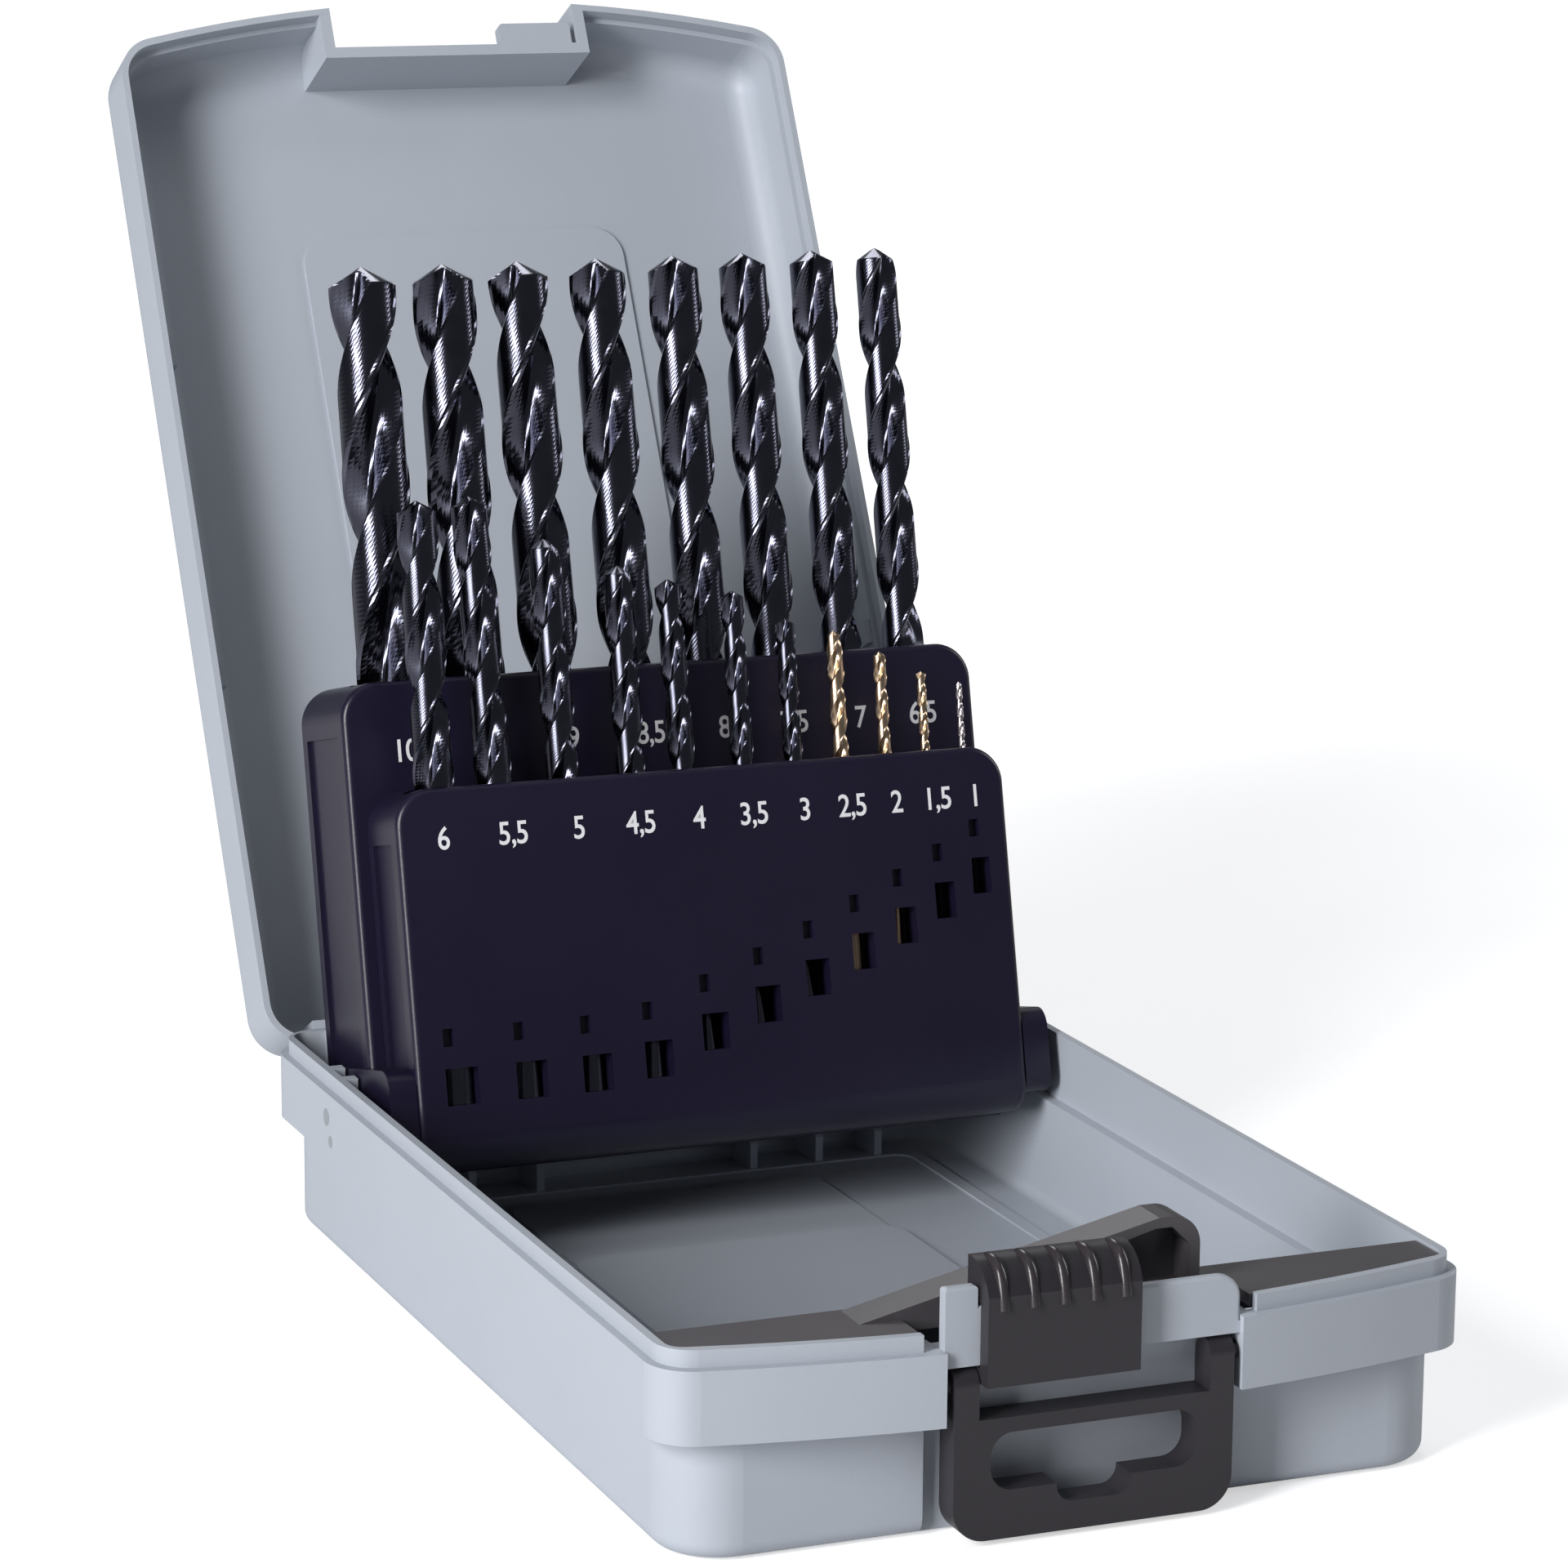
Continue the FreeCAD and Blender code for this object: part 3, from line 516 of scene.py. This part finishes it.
# How high the drills' feet stand over the datum: the rear ones' points are level
rear_tips = 130.6
rear_stands = [rear_tips - drill[0] for drill in rear_drills]
front_stands = (1.5, 1.7, 1.8, 3.2, 5.8, 8.5, 12.8, 14.5, 18.9, 24.5, 28.5)
front_row = 0.016
smallest_black = 3
smallest_gold = 1.5
rows = (
    (rear_sizes, rear_drills, rear_places, rear_stands, 0.0),
    (front_sizes, front_drills, front_places, front_stands, front_row),
)
blocks = Matrix.Translation(holder_datum) @ Matrix.Rotation(-holder_lean, 4, "X")
for sizes, drills, places, stands, out in rows:
    for size, (overall, flute, turn, lean), x, stand in zip(sizes, drills, places, stands):
        label = f"{size:.1f}".replace(".", "_")
        steel, slot = bright_steel, "drill_steel_bright"
        if size >= smallest_black:
            steel, slot = black_oxide, "drill_steel"
        elif size >= smallest_gold:
            steel, slot = straw_gold, "drill_steel_gold"
        foot = Matrix.Translation((x, -out, stand / 1000))
        seat = foot @ Matrix.Rotation(math.radians(lean), 4, "Y")
        values = {
            "Material": steel,
            "Diameter": size / 1000,
            "Length": overall / 1000,
            "Flute": flute / 1000,
            "Turn": math.radians(turn),
        }
        piece = drill_plan.baked("twist_drill_" + label, values, blocks @ seat)
        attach(piece, "holder")
        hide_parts("drill_" + label)


# Latch: the ribbed slider astride the rail, the folding hanger below it and the strip behind.
# All three are moulded in dark plastic. The slider runs along the rail, the hanger turns on
# its own stubs in the pocket below, and the strip lies inside the bow of the front.
latch_plastic = moulded_plastic(
    "moulded dark grey plastic",
    dark=(0.019, 0.017, 0.021),
    light=(0.032, 0.028, 0.034),
    shine=0.38,
    grain_size=0.00030,
    grain_depth=0.000012,
)
dress(["latch_slider", "hanger"], latch_plastic)
strip_plastic = moulded_plastic(
    "moulded brown-black plastic",
    dark=(0.062, 0.057, 0.064),
    light=(0.086, 0.080, 0.087),
    shine=0.34,
    grain_size=0.00030,
    grain_depth=0.000010,
)
dress(["catch_strip"], strip_plastic)


# Grip: five rounded ribs that run over the slider's crown and down its front.
# They are moulded in one with the slider, in its dark grey plastic but a shade lighter and
# smoother, and taper into it at both ends.
rib_count = 5
rib_pitch = 0.0042
rib_radius = 0.00078
rib_tip = 0.02  # the ends' radius, in rib radii
first_rib = -0.0137
grip_plan = Recipe("grip ribs", ("Pitch", "Radius"))
path = grip_plan.node(
    "GeometryNodeCurveQuadraticBezier",
    {
        "Resolution": 24,
        "Start": (0.0, -0.0843, 0.0366),
        "Middle": (0.0, -0.0885, 0.0377),
        "End": (0.0, -0.0895, 0.0312),
    },
)
along = grip_plan.node("GeometryNodeSplineParameter")
swell = ((1.0 - (along * 2.0 - 1.0) ** 6.0) ** 0.5).most(rib_tip)
path = grip_plan.node("GeometryNodeSetCurveRadius", {"Curve": path, "Radius": swell})
ring = grip_plan.node(
    "GeometryNodeCurvePrimitiveCircle",
    {"Resolution": 14, "Radius": grip_plan.given["Radius"]},
)
rib = grip_plan.node(
    "GeometryNodeCurveToMesh",
    {"Curve": path, "Profile Curve": ring, "Fill Caps": True},
)
rib = grip_plan.node("GeometryNodeSetShadeSmooth", {"Geometry": rib})
step = grip_plan.node("ShaderNodeCombineXYZ", {"X": grip_plan.given["Pitch"]})
spots = grip_plan.node("GeometryNodeMeshLine", {"Count": rib_count, "Offset": step})
ribs = grip_plan.node("GeometryNodeInstanceOnPoints", {"Points": spots, "Instance": rib})
grip_plan.finish(ribs)
# The ribs' plastic: a shade lighter and smoother than the slider's.
lighter_rib_plastic = moulded_plastic(
    "thumb-worn dark grey plastic",
    dark=(0.024, 0.020, 0.023),
    light=(0.042, 0.036, 0.040),
    shine=0.26,
    grain_size=0.00030,
    grain_depth=0.000006,
)
grip = grip_plan.baked(
    "grip_ribs",
    {"Material": lighter_rib_plastic, "Pitch": rib_pitch, "Radius": rib_radius},
    Matrix.Translation((first_rib, 0.0, 0.0)),
)
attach(grip, "slider")


# Studio: a pale table top that runs on past the view, in a white room.
# One tall soft lamp at the left in front makes the bars of light on the drills, and weak ones
# at the right, behind and overhead fill the shadows. The table keeps the case's shadow.
table_reach = 40.0
table_drop = 0.0002
glow_near, glow_far = (0.55, 0.55, 0.55), (0.92, 0.92, 0.92)
# To the camera the table also glows, more so from glow_start metres off, and so looks white
glow_start, glow_spread = 0.35, 0.9
finish = Finish("painted table top")
tone = finish.blend(finish.grain(0.05), (0.80, 0.80, 0.81), (0.83, 0.83, 0.84))
painted = finish.node("ShaderNodeBsdfPrincipled", {"Base Color": tone, "Roughness": 0.6})
distance = finish.node("ShaderNodeVectorMath", {0: finish.place()}, 1, operation="LENGTH")
far = ((distance - glow_start) / glow_spread).most(0.0).least(1.0)
glow = finish.node("ShaderNodeEmission", {"Color": finish.blend(far, glow_near, glow_far)})
lifted = finish.node("ShaderNodeAddShader", {0: painted, 1: glow})
seen = finish.node("ShaderNodeLightPath")
table_paint = finish.surface(finish.node("ShaderNodeMixShader", {0: seen, 1: painted, 2: lifted}))
corners = [(-1, -1), (1, -1), (1, 1), (-1, 1)]
table_mesh = bpy.data.meshes.new("table_top")
table_mesh.from_pydata(
    [(table_reach * x, table_reach * y, 0.0) for x, y in corners],
    [],
    [(0, 1, 2, 3)],
)
table_mesh.materials.append(table_paint)
table_top = bpy.data.objects.new("table_top", table_mesh)
table_top.location.z = -table_drop
bpy.context.scene.collection.objects.link(table_top)

room = bpy.data.worlds.new("white room")
room.use_nodes = True
walls = Plan(room.node_tree)
seen = walls.node("ShaderNodeLightPath")
air = walls.node("ShaderNodeBackground", {"Color": (0.90, 0.94, 1.0), "Strength": 0.13})
white = walls.node("ShaderNodeBackground", {"Color": (1.0, 1.0, 1.0), "Strength": 1.0})
shown = walls.node("ShaderNodeMixShader", {0: seen, 1: air, 2: white})
walls.node("ShaderNodeOutputWorld", {"Surface": shown})
bpy.context.scene.world = room


lamp_aim = Vector((0.0, 0.0, 0.07))


def soft_lamp(name, place, width, height, power):
    """A rectangular soft lamp that faces the middle of the case."""
    lamp = bpy.data.lights.new(name, "AREA")
    lamp.shape = "RECTANGLE"
    lamp.size = width
    lamp.size_y = height
    lamp.energy = power
    stand = bpy.data.objects.new(name, lamp)
    stand.location = place
    towards = lamp_aim - Vector(place)
    stand.rotation_euler = towards.to_track_quat("-Z", "Y").to_euler()
    bpy.context.scene.collection.objects.link(stand)


soft_lamp("lamp_left", (-1.12, -0.62, 0.58), width=0.36, height=0.9, power=22.5)
soft_lamp("lamp_right", (1.18, -0.04, 0.60), width=0.3, height=0.7, power=3.7)
soft_lamp("lamp_behind", (0.30, 1.20, 1.20), width=0.6, height=0.6, power=5.0)
soft_lamp("lamp_above", (0.0, -0.1, 1.3), width=0.9, height=0.6, power=0.8)


# Camera: a long lens at the left of the latch, a little above the case, as the photograph
# was taken. Its place was solved from the case's corners and the drills' points.
camera_place = (-0.2721, -0.6415, 0.2297)
azimuth, elevation, roll = math.radians(22.46), math.radians(12.22), math.radians(0.49)
forward = Vector(
    (
        math.sin(azimuth) * math.cos(elevation),
        math.cos(azimuth) * math.cos(elevation),
        -math.sin(elevation),
    )
)
level = Vector((math.cos(azimuth), -math.sin(azimuth), 0.0))
upright = level.cross(forward)
right = level * math.cos(roll) + upright * math.sin(roll)
up = upright * math.cos(roll) - level * math.sin(roll)
turned = Matrix((right, up, -forward)).transposed().to_4x4()
lens = bpy.data.cameras.new("camera")
lens.sensor_fit = "HORIZONTAL"
lens.sensor_width = 36.0
lens.lens = 117.92
lens.clip_start = 0.05
lens.clip_end = 200.0
camera = bpy.data.objects.new("camera", lens)
camera.matrix_world = Matrix.Translation(camera_place) @ turned
bpy.context.scene.collection.objects.link(camera)
bpy.context.scene.camera = camera
bpy.context.scene.view_settings.view_transform = "Standard"
